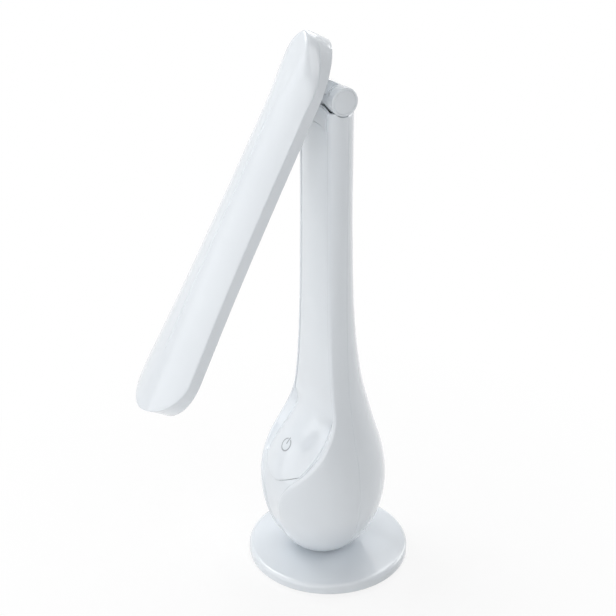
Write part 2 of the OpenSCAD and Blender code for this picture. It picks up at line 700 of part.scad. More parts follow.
// A lid boss ends inside the wall of the cover, which slopes down towards the side
function lid_boss(x, s) =
    head_side - lid_t - 0.05 - head_wall + crown_at(x, s) + 0.6 - 0.045 * x;
led_screw_s = [30, 110, 196];
module head_cover() {
    color(white) in_head() difference() {
        union() {
            tray([for (s = head_stations) back_to_front(head_row(s, 0))],
                [for (s = head_stations) back_to_front(head_row(s, head_wall))]);
            at_arm_screws() translate([0, 0, flange_n + flange_t])
                cylinder(h = boss_n - flange_n - flange_t + 3, r = 2.8);
            for (p = lid_screws_s) for (side = [-1, 1])
                translate([side * p[1], -head_gap - lid_t - 0.05, -p[0]]) rotate([90, 0, 0])
                    cylinder(h = lid_boss(p[1], p[0]), r = 1.9);
        }
        at_arm_screws() translate([0, 0, flange_n]) cylinder(h = 7, r = screw_r);
        at_lid_screws() translate([0, 0, -1]) cylinder(h = 5.5, r = lid_screw_r);
    }
}

lid_gap = 0.25;
lid_t = 2;
diffuser_half = 12.5;
diffuser_top = 24;
diffuser_low = 206;
function lid_outline() =
    let (side = [for (s = head_stations) let (w = head_w(s) - head_wall - lid_gap)
        if (w > 2) [w, -in_station(s, head_wall + lid_gap)]])
    concat(side, [for (i = [len(side) - 1:-1:0]) [-side[i][0], side[i][1]]]);
module slot_shape(half, s0, s1) {
    hull() for (s = [s0 + half, s1 - half]) translate([0, -s]) circle(r = half, $fn = 48);
}
module head_frame() {
    color(white * 0.97) in_head() difference() {
        translate([0, -head_gap, 0]) rotate([90, 0, 0])
            linear_extrude(lid_t) polygon(lid_outline());
        translate([0, -head_gap + 1, 0]) rotate([90, 0, 0])
            linear_extrude(10) slot_shape(diffuser_half + 0.1, diffuser_top - 0.1, diffuser_low + 0.1);
        arm_block(arm_half + 0.3, -arm_up - 0.3, arm_down + 0.3, 0, 40);
        at_lid_screws() translate([0, 0, -1]) {
            cylinder(h = 5, r = lid_screw_r + 0.1);
            cylinder(h = 2, r = 2.1);
        }
    }
}

module diffuser() {
    color([0.97, 0.97, 0.95]) in_head() {
        translate([0, -head_gap, 0]) rotate([90, 0, 0])
            linear_extrude(lid_t) slot_shape(diffuser_half, diffuser_top, diffuser_low);
    }
}

board_n = head_gap + 7;
board_w = 7;
board_s0 = 24;
board_s1 = 202;
module led_board() {
    color([0.85, 0.86, 0.84]) in_head() difference() {
        arm_block(board_w, board_s0, board_s1, board_n, board_n + 1.4);
        for (s = led_screw_s) translate([4.6, 0, -s]) rotate([90, 0, 0]) cylinder(h = 50, r = 1.1);
    }
}

led_pitch = (board_s1 - board_s0 - 12) / (led_count - 1);
module leds() {
    color([0.98, 0.93, 0.6]) in_head() for (i = [0:led_count - 1])
        arm_block(1.6, board_s0 + 6 + i * led_pitch - 1.4, board_s0 + 6 + i * led_pitch + 1.4,
            board_n - 0.8, board_n);
}

// White walls that lead the light from the board to the diffuser
module reflector() {
    color([0.96, 0.96, 0.96]) in_head() difference() {
        translate([0, -head_gap - lid_t, 0]) rotate([90, 0, 0])
            linear_extrude(board_n + 1.4 - head_gap - lid_t)
                slot_shape(diffuser_half + 1.4, diffuser_top - 1.4, diffuser_low + 1.4);
        translate([0, -head_gap, 0]) rotate([90, 0, 0])
            linear_extrude(5.2) slot_shape(diffuser_half, diffuser_top, diffuser_low);
        arm_block(board_w + 0.05, board_s0 - 0.05, board_s1 + 0.05, head_gap, board_n + 10);
        arm_block(1.3, board_s0 - 6, board_s0 + 1, board_n - 0.7, board_n + 10);
    }
}

module led_board_screws() {
    color([0.6, 0.6, 0.62]) in_head() for (s = led_screw_s)
        translate([4.6, -board_n + 1, -s]) rotate([90, 0, 0]) screw(1.9, 1, 1.05, 5);
}

module head_screws() {
    color([0.6, 0.6, 0.62]) in_head() at_arm_screws()
        translate([0, 0, flange_n]) screw(2.6, 1, screw_r, 6.5);
}

module lid_screws() {
    color([0.6, 0.6, 0.62]) in_head() at_lid_screws() screw(2, 1, lid_screw_r, 4.2);
}

module head_wire() {
    color([0.9, 0.9, 0.9]) in_head() wire([[0, -0.4, 2.6], [0, -3, 3.2], [0, -head_gap - 5, 3.2],
        [0, -board_n - 0.7, -8], [0, -board_n - 0.7, -board_s0]], wire_r);
}

foot_disc();
foot_bottom_cover();
foot_weight();
rubber_feet();
foot_screws();
body_screws();
mounting_plate();
front_shell();
rear_shell();
front_panel();
power_symbol();
touch_sensor();
touch_lead();
control_board();
board_components();
board_screws();
dc_socket();
socket_lead();
neck_wire();
hinge_cap_right();
hinge_cap_left();
friction_washers();
hinge_bolts();
spacer_washers();
hinge_arm();
lid_screws();
head_cover();
head_frame();
diffuser();
reflector();
led_board();
leds();
led_board_screws();
head_screws();
head_wire();
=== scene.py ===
"""Looks of a white folding desk lamp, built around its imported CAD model.

Shapes are worked out in millimetres, in the same frame as the CAD: +Z up, the front looks along -Y.
"""
import json
import math

import bpy
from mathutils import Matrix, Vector


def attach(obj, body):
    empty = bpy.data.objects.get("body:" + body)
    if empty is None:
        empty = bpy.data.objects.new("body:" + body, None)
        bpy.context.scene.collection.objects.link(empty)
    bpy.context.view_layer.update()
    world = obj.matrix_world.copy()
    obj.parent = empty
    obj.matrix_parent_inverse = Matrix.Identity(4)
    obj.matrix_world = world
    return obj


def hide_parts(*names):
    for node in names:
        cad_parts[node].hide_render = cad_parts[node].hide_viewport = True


MM = 0.001

# Sizes, as in the CAD model
FOOT_R, FOOT_TOP, PAD_DROP = 55.5, 8.0, 0.8
FOOT_EDGE, FOOT_SKIN, COVER_R = 3.0, 2.0, 52.5
BULB_R, BULB_Z, BULB_DROP = 42.7, 65.0, 60.0
NECK_HALF, NECK_DEPTH, VASE_Y = 21.4, 16.2, -4.5
WALL, NECK_TOP, SEAM_Y, RIM_Y = 2.2, 329.5, 0.3, -12.6
PANEL_LOW, PANEL_HIGH, PANEL_T, PANEL_GAP, LIP_W = 72.0, 318.0, 2.0, 0.22, 2.4
SYMBOL_Z, SYMBOL_R, SYMBOL_STROKE, SYMBOL_TILT = 95.0, 4.7, 0.9, 48.0
HINGE_Y, HINGE_Z, EAR_R, EAR_IN, EAR_OUT = -2.5, 333.0, 9.0, 14.4, 20.6
BARREL_R, OPEN_ANGLE = 8.6, 28.0
HEAD_HALF, HEAD_TIP_HALF, HEAD_GAP = 21.7, 29.3, 16.3
HEAD_SIDE, HEAD_CROWN, HEAD_UP, HEAD_DOWN, HEAD_WALL = 7.6, 9.0, 29.5, 221.5, 1.8
TOP_ROUND, TIP_ROUND, TOP_POWER, TIP_POWER, RIDGE_RISE = 40.0, 34.0, 1.95, 2.0, 1.5
SHOULDER_Z, BED_GAP = 103.0, 0.3

# Details that only the looks have
BEAD, BEAD_STEPS = 2.2, 10  # the rim's rolled edge: where it starts before the rim, and its steps
LIP_SINK = 0.8  # the roll's end lies this far behind the rim
SEAM_SHARE = 0.86  # where the seam lies in the bow of a level
ARC_STEPS, REAR_STEPS, FLOOR_STEPS = 26, 36, 24
CHIN_RUN, CHIN_STEP = 16.0, 0.08  # the chin runs up to the panel over this height, and stops this far behind it
EAR_ARC_GAP = 0.12
PIVOT_HOLE, SEAT_R, SEAT_DEPTH, CAP_R = 3.05, 7.34, 3.1, 7.28
END_FROM, END_RUN = 14.0, 34.0  # the part of the head that bends down toward the hinge end
END_FALL, END_EDGE = 5.6, 6.0
LINE_FROM, LINE_TO, LINE_FADE, LINE_DEPTH, LINE_HALF = 20.0, 178.6, 8.0, 0.6, 0.5
FACET_FROM, FACET_DEPTH = 27.0, 0.55

# Camera, in metres and degrees, with its focal length in pixels of the picture
PICTURE, FOCAL, SENSOR = 616, 1352, 36
CAMERA_AROUND, CAMERA_OUT, CAMERA_UP, CAMERA_TILT, CAMERA_TURN = 60, 0.790, 0.574, 64, 61.03

FLARE = [(BULB_Z, 1), (85, 0.88), (110, 0.525), (140, 0.215), (180, 0.055), (240, 0.004), (335, 0)]
LEAF = [(FOOT_TOP, 5), (25, 7.5), (46, 10), (60, 12.8), (73.5, 20), (84, 27.4), (94, 30.6),
        (SHOULDER_Z, 31)]
RIM_LINE = [(93, -27), (98, -23.8), (SHOULDER_Z, -20.6), (107, -18.1), (113.5, -15.2), (118, -13.8),
            (124, RIM_Y - 0.2), (132, RIM_Y), (335, RIM_Y)]
PANEL_LINE = [(PANEL_LOW, -43.4), (84, -39.2), (SYMBOL_Z, -33), (107, -22.4), (117, -16), (130, -13.4),
              (150, -13.1), (335, -13.1)]
BEVEL = [(PANEL_LOW, 0.4), (84, 2.2), (SYMBOL_Z, 4), (107, 5), (114, 4.4), (118, 2.4), (122, 0.2), (335, 0)]
LIP_DEPTH = [(PANEL_LOW, 0.8), (84, 1.8), (SYMBOL_Z, 3), (107, 3.6), (114, 3.1), (119, 1.8), (124, 0.9),
             (335, 0.7)]
CHIN_SINK = [(FOOT_TOP, 0.2), (40, 1.4), (PANEL_LOW, 3.4)]
LOW_RISE = [(FOOT_TOP, 0), (40, 3), (PANEL_LOW, 9), (98, 3), (112, 0), (335, 0)]
TOP_DROP = [(FOOT_TOP, 0), (290, 0), (PANEL_HIGH, 2.8), (NECK_TOP, 2.8)]
HEAD_FLARE = [(-HEAD_UP, 0), (60, 0.1), (130, 0.36), (175, 0.72), (205, 1), (HEAD_DOWN, 1)]


# Curves shared with the CAD model
def curve(table, u):
    """Smooth curve through the table's points, level at both ends."""
    i = 0
    while i < len(table) - 2 and u >= table[i + 1][0]:
        i += 1

    def tangent(k):
        if k <= 0 or k >= len(table) - 1:
            return 0.0
        return (table[k + 1][1] - table[k - 1][1]) / (table[k + 1][0] - table[k - 1][0])

    (u0, v0), (u1, v1) = table[i], table[i + 1]
    h = u1 - u0
    t = min(1.0, max(0.0, (u - u0) / h))
    return (v0 * (2 * t**3 - 3 * t**2 + 1) + tangent(i) * h * (t**3 - 2 * t**2 + t)
            + v1 * (3 * t**2 - 2 * t**3) + tangent(i + 1) * h * (t**3 - t**2))


def flare_at(z):
    return max(0.0, curve(FLARE, z))


def dome(z, inset):
    return (BULB_R - inset) * math.sqrt(max(0.02, 1 - ((BULB_Z - z) / (BULB_DROP - inset)) ** 2))


def vase_half(z, inset=0.0):
    if z < BULB_Z:
        return dome(z, inset)
    return NECK_HALF - inset + (BULB_R - NECK_HALF) * flare_at(z)


def vase_depth(z, inset=0.0):
    if z < BULB_Z:
        return dome(z, inset)
    return NECK_DEPTH - inset + (BULB_R - NECK_DEPTH) * flare_at(z) ** 0.7


def vase_front(x, z, inset=0.0):
    return VASE_Y - vase_depth(z, inset) * math.sqrt(max(0.0, 1 - (x / vase_half(z, inset)) ** 2))


def rim_x(z):
    if z <= SHOULDER_Z:
        return curve(LEAF, z)
    return vase_half(z) * math.sqrt(1 - ((curve(RIM_LINE, z) - VASE_Y) / vase_depth(z)) ** 2)


def rim_front(z):
    return vase_front(rim_x(z), z)


def floor_half(z):
    """Half the width of the panel's bed."""
    return rim_x(z) - LIP_W - max(0.0, curve(BEVEL, z))


def panel_face(x, z):
    """Bends from the panel's middle line to the foot of the lip on each side."""
    middle = curve(PANEL_LINE, z)
    return middle + (rim_front(z) + curve(LIP_DEPTH, z) - middle) * min(1.0, abs(x) / floor_half(z)) ** 2


def chin_face(x, z):
    return vase_front(x, z) + 0.4 + curve(CHIN_SINK, z) * (1 - (x / rim_x(z)) ** 2)


def bowed(z, u):
    """Height of a level beside the middle line: it bows up below the panel and down above it."""
    return z + curve(LOW_RISE, z) * u**2 - curve(TOP_DROP, z) * u**4


def panel_share(level):
    """1 beside the panel, and running out to nothing down the chin."""
    return 1.0 if level >= PANEL_LOW else max(0.0, 1 - (PANEL_LOW - level) / CHIN_RUN) ** 2


def inside_rim(x, z, level):
    """What lies inside the rim: the chin, the bed of the panel, or the wall above it."""
    if level < PANEL_LOW:
        chin = chin_face(x, z)
        return chin + (panel_face(x, z) + CHIN_STEP - chin) * panel_share(level)
    if level > PANEL_HIGH:
        return RIM_Y - 0.5 * (1 - (x / rim_x(z)) ** 4)
    return panel_face(x, z) + PANEL_T + BED_GAP


def recess_half(z, level):
    return rim_x(z) - LIP_W - max(0.0, curve(BEVEL, z)) * panel_share(level)


def skin_point(z, inset, angle):
    return [vase_half(z, inset) * math.cos(angle), VASE_Y + vase_depth(z, inset) * math.sin(angle), z]


def under_ear(p, u):
    """The side walls of the neck end in an arc below the ears."""
    base, free = HINGE_Z - 24, bowed(NECK_TOP, u)
    if p[2] <= base:
        return p
    reach = (EAR_R + EAR_ARC_GAP) ** 2 - (p[1] - HINGE_Y) ** 2
    top = min(free, HINGE_Z - math.sqrt(max(0.0, reach)))
    return [p[0], p[1], base + (p[2] - base) * (top - base) / (free - base)]


def seam_angle(z, inset):
    return math.asin((SEAM_Y - VASE_Y) / vase_depth(z, inset))


# Mesh helpers
def spread(*stops):
    """Values from the first stop to the last: spread(a, n, b, m, c) has n steps to b, then m to c."""
    out = [stops[0]]
    for n, end in zip(stops[1::2], stops[2::2]):
        start = out[-1]
        out += [start + (end - start) * (i + 1) / n for i in range(n)]
    return out


def mesh_object(name, points, faces, body, slot, smooth=math.radians(32)):
    mesh = bpy.data.meshes.new(name)
    mesh.from_pydata([tuple(c * MM for c in p) for p in points], [], faces)
    mesh.validate()
    obj = bpy.data.objects.new(name, mesh)
    bpy.context.scene.collection.objects.link(obj)
    bpy.context.view_layer.objects.active = obj
    for o in bpy.context.selected_objects:
        o.select_set(False)
    obj.select_set(True)
    bpy.ops.object.mode_set(mode="EDIT")
    bpy.ops.mesh.select_all(action="SELECT")
    bpy.ops.mesh.remove_doubles(threshold=0.000002)
    bpy.ops.mesh.normals_make_consistent(inside=False)
    bpy.ops.object.mode_set(mode="OBJECT")
    mesh.shade_smooth()
    mesh.set_sharp_from_angle(angle=smooth)
    if body:
        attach(obj, body)
        mesh.materials.append(MATERIALS[slot])
    return obj


def grid_faces(rows, columns, offset=0, close=False):
    faces = []
    for i in range(rows - 1):
        for j in range(columns if close else columns - 1):
            k = (j + 1) % columns
            a, b = offset + i * columns, offset + (i + 1) * columns
            faces.append((a + j, b + j, b + k, a + k))
    return faces


def shell(outer, inner):
    """A closed solid between two grids of points, joined along all four borders."""
    rows, columns = len(outer), len(outer[0])
    points = [p for row in outer for p in row] + [p for row in inner for p in row]
    count = rows * columns
    faces = grid_faces(rows, columns) + grid_faces(rows, columns, count)
    for i in range(rows - 1):
        for j in (0, columns - 1):
            a, b = i * columns + j, (i + 1) * columns + j
            faces.append((a, b, count + b, count + a))
    for j in range(columns - 1):
        for i in (0, rows - 1):
            a = i * columns + j
            faces.append((a, a + 1, count + a + 1, count + a))
    return points, faces


def loft(rows, close_ends=True):
    """A solid through closed rows of points."""
    columns = len(rows[0])
    points = [p for row in rows for p in row]
    faces = grid_faces(len(rows), columns, 0, True)
    if close_ends:
        faces += [tuple(range(columns)), tuple(range(len(points) - columns, len(points)))]
    return points, faces


def lathe(profile, steps=160):
    """Turns a closed (radius, height) profile about the Z axis."""
    points, faces = [], []
    for k in range(steps):
        a = 2 * math.pi * k / steps
        points += [(r * math.cos(a), r * math.sin(a), z) for r, z in profile]
    n = len(profile)
    for k in range(steps):
        a, b = k * n, (k + 1) % steps * n
        faces += [(a + i, b + i, b + (i + 1) % n, a + (i + 1) % n) for i in range(n)]
    return points, faces


def moved(solid, place):
    points, faces = solid
    return [place(p) for p in points], faces


def joined(*solids):
    points, faces = [], []
    for more_points, more_faces in solids:
        base = len(points)
        points += more_points
        faces += [tuple(base + i for i in f) for f in more_faces]
    return points, faces


def arc(cx, cy, r, a0, a1, n):
    """Points on an arc in a profile, angles in degrees."""
    return [(cx + r * math.cos(math.radians(a0 + (a1 - a0) * i / n)),
             cy + r * math.sin(math.radians(a0 + (a1 - a0) * i / n))) for i in range(n + 1)]


def in_head(p):
    """From the head's own frame, hanging straight down from the hinge, to its place at rest."""
    a = math.radians(-OPEN_ANGLE)
    x, y, z = p
    return (x, HINGE_Y + y * math.cos(a) - z * math.sin(a), HINGE_Z + y * math.sin(a) + z * math.cos(a))


def across(side):
    """Turns a lathe's axis to the hinge axis, for the right (1) or left (-1) side."""
    return lambda p: (side * p[2], HINGE_Y + p[0], HINGE_Z + p[1])


# Materials
def material(name):
    mat = bpy.data.materials.new(name)
    mat.use_nodes = True
    nodes, links = mat.node_tree.nodes, mat.node_tree.links
    return mat, nodes, links, nodes["Principled BSDF"]


def noise(nodes, links, scale, detail=3.0, stretch=(1, 1, 1)):
    coords = nodes.new("ShaderNodeTexCoord")
    mapping = nodes.new("ShaderNodeMapping")
    mapping.inputs["Scale"].default_value = stretch
    tex = nodes.new("ShaderNodeTexNoise")
    tex.inputs["Scale"].default_value = scale
    tex.inputs["Detail"].default_value = detail
    links.new(coords.outputs["Object"], mapping.inputs["Vector"])
    links.new(mapping.outputs["Vector"], tex.inputs["Vector"])
    return tex


def ramp(nodes, links, source, low, high, start=0.35, end=0.65):
    node = nodes.new("ShaderNodeValToRGB")
    node.color_ramp.elements[0].position = start
    node.color_ramp.elements[1].position = end
    node.color_ramp.elements[0].color = (*low, 1)
    node.color_ramp.elements[1].color = (*high, 1)
    links.new(source.outputs["Fac"], node.inputs["Fac"])
    return node


def roughness(nodes, links, shader, source, low, high):
    node = nodes.new("ShaderNodeMapRange")
    node.inputs["To Min"].default_value = low
    node.inputs["To Max"].default_value = high
    links.new(source.outputs["Fac"], node.inputs["Value"])
    links.new(node.outputs["Result"], shader.inputs["Roughness"])


def bump(nodes, links, shader, source, strength, distance):
    node = nodes.new("ShaderNodeBump")
    node.inputs["Strength"].default_value = strength
    node.inputs["Distance"].default_value = distance
    links.new(source.outputs["Fac"], node.inputs["Height"])
    links.new(node.outputs["Normal"], shader.inputs["Normal"])


def plastic(name, low, high, rough, grain, grain_depth, coat=0.0):
    """Moulded plastic: faint clouding, uneven gloss and a fine moulded grain."""
    mat, nodes, links, shader = material(name)
    cloud = noise(nodes, links, 14)
    links.new(ramp(nodes, links, cloud, low, high).outputs["Color"], shader.inputs["Base Color"])
    fine = noise(nodes, links, grain, 2)
    roughness(nodes, links, shader, cloud, *rough)
    bump(nodes, links, shader, fine, 0.2, grain_depth)
    shader.inputs["Coat Weight"].default_value = coat
    shader.inputs["Coat Roughness"].default_value = 0.06
    return mat


def metal(name, low, high, rough, stretch=(1, 1, 1), scale=900):
    mat, nodes, links, shader = material(name)
    grain = noise(nodes, links, scale, 3, stretch)
    links.new(ramp(nodes, links, grain, low, high, 0.2, 0.8).outputs["Color"], shader.inputs["Base Color"])
    roughness(nodes, links, shader, grain, *rough)
    bump(nodes, links, shader, grain, 0.15, 0.00005)
    shader.inputs["Metallic"].default_value = 1.0
    return mat


def circuit(name, mask, copper):
    """Solder mask with faint copper tracks under it."""
    mat, nodes, links, shader = material(name)
    coords = nodes.new("ShaderNodeTexCoord")
    tracks = nodes.new("ShaderNodeTexBrick")
    tracks.inputs["Scale"].default_value = 220
    tracks.inputs["Mortar Size"].default_value = 0.05
    tracks.inputs["Color1"].default_value = (*mask, 1)
    tracks.inputs["Color2"].default_value = (*[c * 0.85 for c in mask], 1)
    tracks.inputs["Mortar"].default_value = (*copper, 1)
    mapping = nodes.new("ShaderNodeMapping")
    mapping.inputs["Rotation"].default_value = (math.radians(90), 0, 0)
    links.new(coords.outputs["Object"], mapping.inputs["Vector"])
    links.new(mapping.outputs["Vector"], tracks.inputs["Vector"])
    links.new(tracks.outputs["Color"], shader.inputs["Base Color"])
    roughness(nodes, links, shader, noise(nodes, links, 300), 0.35, 0.5)
    return mat


def opal(name):
    """Opal acrylic: milky, with a soft grain and light under the skin."""
    mat, nodes, links, shader = material(name)
    cloud = noise(nodes, links, 60)
    links.new(ramp(nodes, links, cloud, (0.86, 0.865, 0.85), (0.9, 0.9, 0.885)).outputs["Color"],
              shader.inputs["Base Color"])
    roughness(nodes, links, shader, cloud, 0.32, 0.4)
    bump(nodes, links, shader, noise(nodes, links, 2600, 2), 0.15, 0.00002)
    shader.inputs["Subsurface Weight"].default_value = 0.3
    shader.inputs["Subsurface Scale"].default_value = 0.003
    return mat


GLOSS_LOW, GLOSS_HIGH = (0.765, 0.805, 0.845), (0.79, 0.83, 0.868)
MATERIALS = {
    "white_gloss": plastic("white_gloss", GLOSS_LOW, GLOSS_HIGH, (0.16, 0.22), 700, 0.00002, 0.35),
    "white_matte": plastic("white_matte", (0.74, 0.76, 0.78), (0.78, 0.8, 0.815), (0.4, 0.5), 2200, 0.00006),
    "steel_weight": metal("steel_weight", (0.35, 0.35, 0.36), (0.5, 0.5, 0.52), (0.35, 0.5)),
    "grey_rubber": plastic("grey_rubber", (0.2, 0.2, 0.21), (0.26, 0.26, 0.27), (0.75, 0.9), 1800, 0.0001),
    "screw_steel": metal("screw_steel", (0.5, 0.5, 0.52), (0.66, 0.66, 0.68), (0.22, 0.38)),
    "symbol_grey": plastic("symbol_grey", (0.36, 0.38, 0.41), (0.4, 0.42, 0.45), (0.3, 0.4), 1500, 0.00002),
    "copper": metal("copper", (0.66, 0.36, 0.22), (0.8, 0.48, 0.32), (0.25, 0.4)),
    "lead_plastic": plastic("lead_plastic", (0.4, 0.03, 0.03), (0.5, 0.05, 0.04), (0.35, 0.5), 900, 0.00003),
    "board_green": circuit("board_green", (0.03, 0.16, 0.07), (0.1, 0.26, 0.1)),
    "component_black": plastic("component_black", (0.02, 0.02, 0.022), (0.04, 0.04, 0.045), (0.4, 0.6), 1500,
                               0.00005),
    "wire_white": plastic("wire_white", (0.7, 0.7, 0.7), (0.76, 0.76, 0.76), (0.35, 0.5), 1200, 0.00003),
    "washer_grey": plastic("washer_grey", (0.5, 0.5, 0.51), (0.58, 0.58, 0.59), (0.4, 0.55), 1500, 0.00004),
    "diffuser_opal": opal("diffuser_opal"),
    "board_white": circuit("board_white", (0.75, 0.75, 0.73), (0.66, 0.66, 0.62)),
    "led_yellow": plastic("led_yellow", (0.8, 0.6, 0.12), (0.88, 0.7, 0.2), (0.3, 0.4), 1500, 0.00003),
}


# Foot
def make_foot():
    under = FOOT_TOP - FOOT_SKIN
    profile = [(0.0, under), (0.0, FOOT_TOP)]
    profile += [(r, FOOT_TOP) for r in (10, 25, 40, 50)]
    profile += arc(FOOT_R - FOOT_EDGE, FOOT_TOP - FOOT_EDGE, FOOT_EDGE, 90, 0, 12)
    profile += arc(FOOT_R - 1, PAD_DROP + 1, 1, 0, -90, 6)
    profile += [(COVER_R, PAD_DROP), (COVER_R, under)]
    foot = mesh_object("foot", *lathe(profile, 256), "body", "white_gloss")
    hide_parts("foot_disc")


# Vase
def seam_profile(count):
    """(share of the way round, inset) with a fine rounded edge at the seam."""
    edge = [(0.0, 0.32), (0.006, 0.16), (0.014, 0.05), (0.026, 0.0)]
    return edge + [(0.026 + (1 - 0.026) * (i + 1) / count, 0.0) for i in range(count)]


def rim_bead(level):
    """Rolls from the skin, a little before the rim, over into the recess."""
    z = bowed(level, 1)
    x, y, half, depth = rim_x(z), rim_front(z), vase_half(z), vase_depth(z)
    a1 = -math.acos(min(1.0, x / half))
    speed = math.hypot(half * math.sin(a1), depth * math.cos(a1))
    start_angle = a1 + BEAD / speed
    start = skin_point(z, 0, start_angle)
    ahead = skin_point(z, 0, start_angle - 0.01)
    run = math.hypot(ahead[0] - start[0], ahead[1] - start[1])
    foot = recess_half(z, level)
    deep = max(inside_rim(foot, z, level), y + 0.6)
    end = (x - LIP_W, min(y + LIP_SINK, deep - 0.1))
    pull = 1.4
    c1 = (start[0] + pull * (ahead[0] - start[0]) / run, start[1] + pull * (ahead[1] - start[1]) / run)
    c2 = (end[0] + 0.1, end[1] - 0.9)
    points = []
    for i in range(1, BEAD_STEPS + 1):
        t = i / BEAD_STEPS
        weights = ((1 - t) ** 3, 3 * t * (1 - t) ** 2, 3 * t * t * (1 - t), t**3)
        across_rim = [sum(w * p[axis] for w, p in zip(weights, (start, c1, c2, end))) for axis in (0, 1)]
        points.append(across_rim + [z])
    edge = y + curve(LIP_DEPTH, z) if PANEL_LOW <= level <= PANEL_HIGH else (end[1] + deep) / 2
    return start_angle, points + [[foot, max(edge, end[1] + 0.05), z], [foot - 0.03, deep, z]]


def front_outer(level):
    """A section's outer line: from the seam over the rolled rim and across the recess."""
    half = []
    stop, bead = rim_bead(level)
    for share, inset in seam_profile(ARC_STEPS):
        u = SEAM_SHARE + (1 - SEAM_SHARE) * share
        z = bowed(level, u)
        half.append(under_ear(skin_point(z, inset, seam_angle(z, 0) + (stop - seam_angle(z, 0)) * share), u))
    half += bead
    for i in range(1, FLOOR_STEPS + 1):
        u = math.cos(math.radians(90 * i / FLOOR_STEPS))
        z = bowed(level, u)
        x = recess_half(z, level) * u
        half.append([x, inside_rim(x, z, level), z])
    return mirrored(half)


def front_inner(level):
    """The same section's inner line, with as many points."""
    z1 = bowed(level, 1)
    x1 = recess_half(z1, level)
    y1 = max(inside_rim(x1, z1, level), rim_front(z1) + 0.4) + WALL
    a1 = -math.asin(min(0.98, (VASE_Y - y1) / vase_depth(z1, WALL)))
    steps = len(seam_profile(ARC_STEPS)) + BEAD_STEPS + 2
    half = []
    for i in range(steps):
        share = i / (steps - 1)
        u = SEAM_SHARE + (1 - SEAM_SHARE) * min(1.0, share * 1.2)
        z = bowed(level, u)
        a0 = seam_angle(z, WALL)
        half.append(under_ear(skin_point(z, WALL, a0 + (a1 - a0) * share), u))
    for i in range(1, FLOOR_STEPS + 1):
        u = math.cos(math.radians(90 * i / FLOOR_STEPS))
        z = bowed(level, u)
        x = recess_half(z, level) * u
        half.append([x, inside_rim(x, z, level) + WALL, z])
    return mirrored(half)


def mirrored(half):
    return half + [[-p[0], p[1], p[2]] for p in reversed(half[:-1])]


FRONT_LEVELS = (spread(FOOT_TOP, 8, 16, 16, PANEL_LOW - 0.5) + [PANEL_LOW - 0.06, PANEL_LOW]
                + spread(74, 20, 110, 20, 126, 12, 150, 16, 300, 6, PANEL_HIGH - 0.4)
                + [PANEL_HIGH - 0.1, PANEL_HIGH + 0.05, PANEL_HIGH + 0.4]
                + spread(PANEL_HIGH + 1.5, 6, NECK_TOP))


def make_front_shell():
    solid = shell([front_outer(v) for v in FRONT_LEVELS], [front_inner(v) for v in FRONT_LEVELS])
    front = mesh_object("front_shell_body", *solid, "body", "white_gloss")
    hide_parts("front_shell")


def make_rear_shell():
    levels = spread(FOOT_TOP, 10, 20, 20, 90, 18, 160, 14, 318) + [319.5, 320.8, 321.5, 322]

    def row(z, inset, seam):
        a0 = seam_angle(z, inset)
        half = []
        for share, groove in seam_profile(REAR_STEPS):
            a = a0 + (math.pi / 2 - a0) * share
            half.append(skin_point(z, inset + (groove if seam else 0), a))
        return mirrored(half)

    walls = shell([row(z, 0, True) for z in levels], [row(z, WALL, False) for z in levels])

    def roof(thin):
        rows = []
        for i in range(11):
            a = math.radians(i * 8)
            z = 322 + (5 - thin * 0.7) * math.sin(a)
            inset = thin + 2.5 * (1 - math.cos(a))
            a0 = seam_angle(322, 0)
            half = [skin_point(322, inset, a0 + (math.pi / 2 - a0) * k / REAR_STEPS)
                    for k in range(REAR_STEPS + 1)]
            rows.append(mirrored([[p[0], max(SEAM_Y, p[1]), z] for p in half]))
        return rows

    top = shell(roof(0), roof(WALL))
    ears = [ear(side) for side in (1, -1)]
    rear = mesh_object("rear_shell_body", *joined(walls, top, roof_plate(), *ears), "body", "white_gloss")
    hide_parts("rear_shell")


def roof_plate():
    """Closes the rear shell's top behind the hinge barrel."""
    rows = []
    for z in (324.6, 326.4):
        reach = (BARREL_R + 0.5) ** 2 - (HINGE_Z - z) ** 2
        front = HINGE_Y + math.sqrt(reach)
        back = [((NECK_HALF - 2.9) * math.cos(math.radians(a)),
                 VASE_Y + (NECK_DEPTH - 2.9) * math.sin(math.radians(a))) for a in range(40, 141, 4)]
        back = [p for p in back if p[1] > front]
        rows.append([(x, y, z) for x, y in back] + [(x, front, z) for x, y in reversed(back)])
    count = min(len(r) for r in rows) // 2
    rows = [r[:count] + r[-count:] for r in rows]
    return loft(rows)


def ear(side):
    """A round ear with its pivot hole, the seat of the cap and a post down into the neck."""
    rim = 0.7
    profile = [(PIVOT_HOLE, EAR_IN), (EAR_R - 0.3, EAR_IN), (EAR_R, EAR_IN + 0.3)]
    profile += arc(EAR_R - rim, EAR_OUT - rim, rim, 0, 90, 8)
    profile += [(SEAT_R + 0.06, EAR_OUT), (SEAT_R, EAR_OUT - 0.06), (SEAT_R, EAR_OUT - SEAT_DEPTH),
                (PIVOT_HOLE, EAR_OUT - SEAT_DEPTH)]
    disc = moved(lathe(profile, 96), across(side))
    front, back, low, high = SEAM_Y, SEAM_Y + 2.4, 312.0, HINGE_Z - EAR_R + 2
    post = [[(side * x, y, z) for x, y in ((EAR_IN, front), (19.0, front), (19.0, back), (EAR_IN, back))]
            for z in (low, high)]
    return joined(disc, loft(post))


